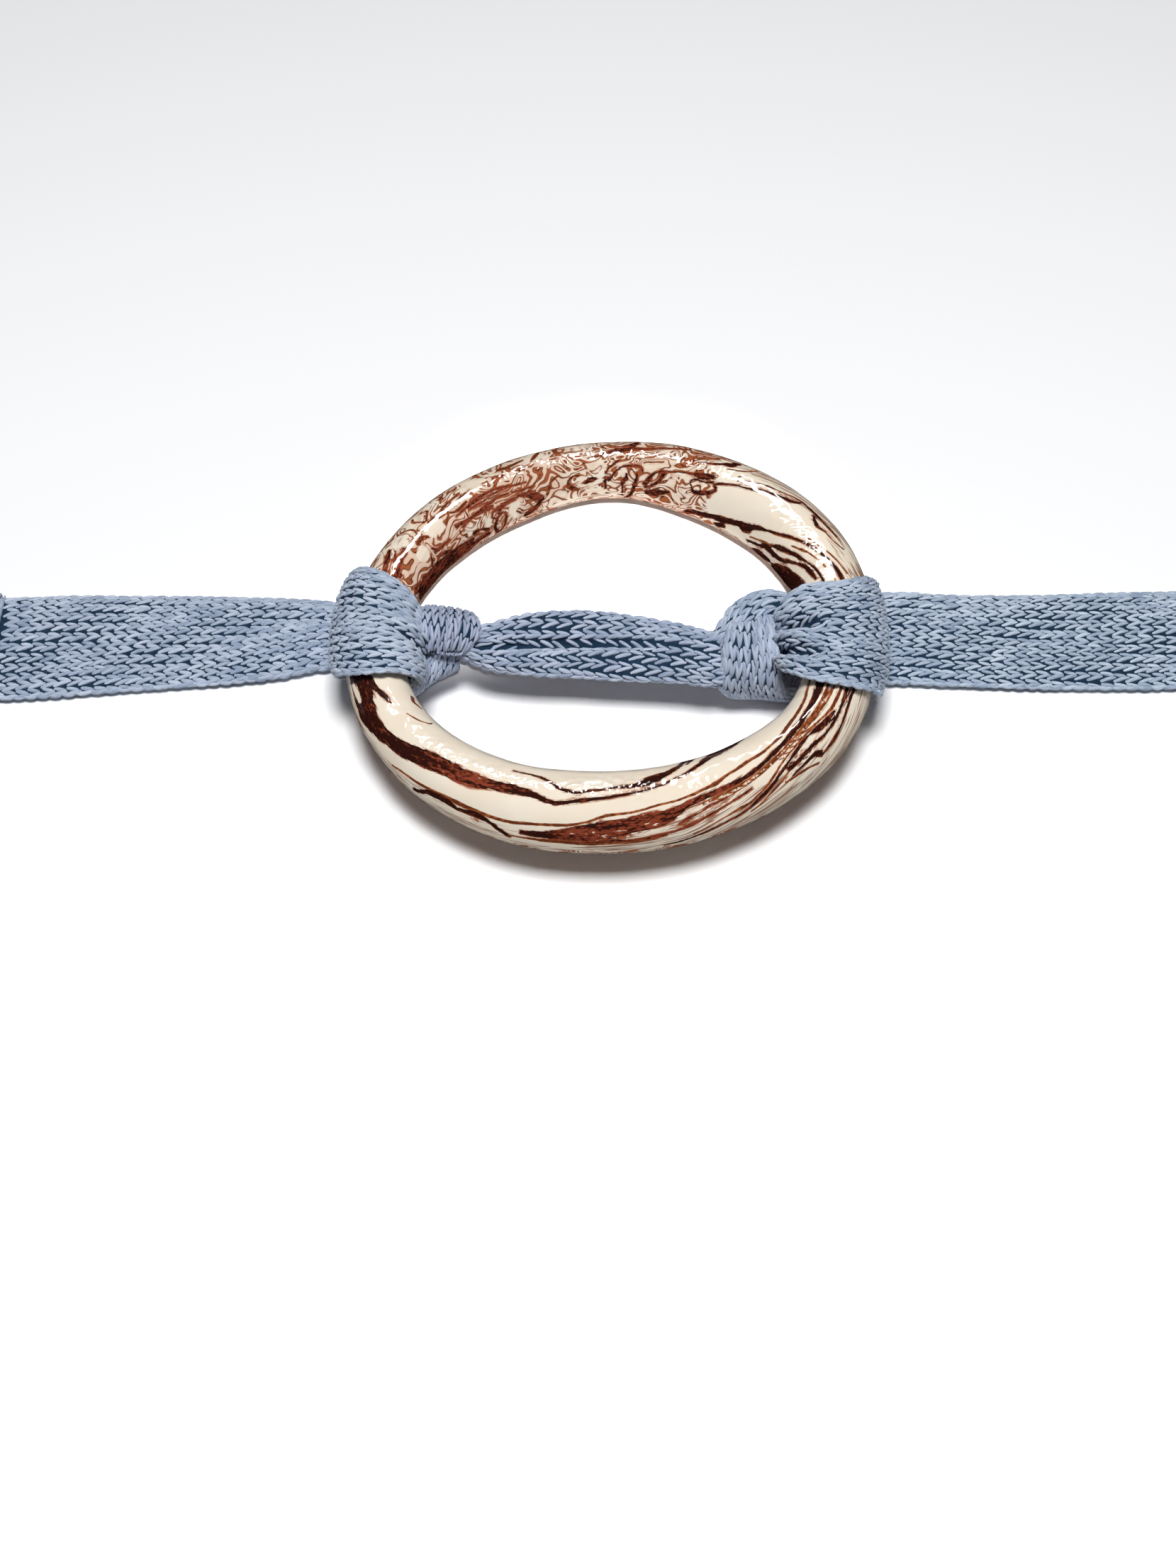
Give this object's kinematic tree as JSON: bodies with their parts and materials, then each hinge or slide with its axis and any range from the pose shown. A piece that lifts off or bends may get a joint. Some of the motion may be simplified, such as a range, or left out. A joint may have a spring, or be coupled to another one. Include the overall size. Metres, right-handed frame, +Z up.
{
  "type": "ring belt",
  "caption": "Glazed marbled clay ring with a flat knitted strap hitched on both of its sides, laid flat.",
  "frame": {"origin": "on the surface that the belt lies on, under the middle of its box, which is the middle of the ring", "axes": "+X along the strap to its right tail, +Y across the strap, +Z up out of the ring's face"},
  "size_m": [0.23, 0.0948, 0.0212],
  "materials": {
    "marbled_clay": "clear gloss glaze over marbled cream and brown clay",
    "knit": "grey-blue plain knitting"
  },
  "bodies": {
    "root": {"ring": "marbled_clay", "strap": "knit"}
  },
  "joints": []
}
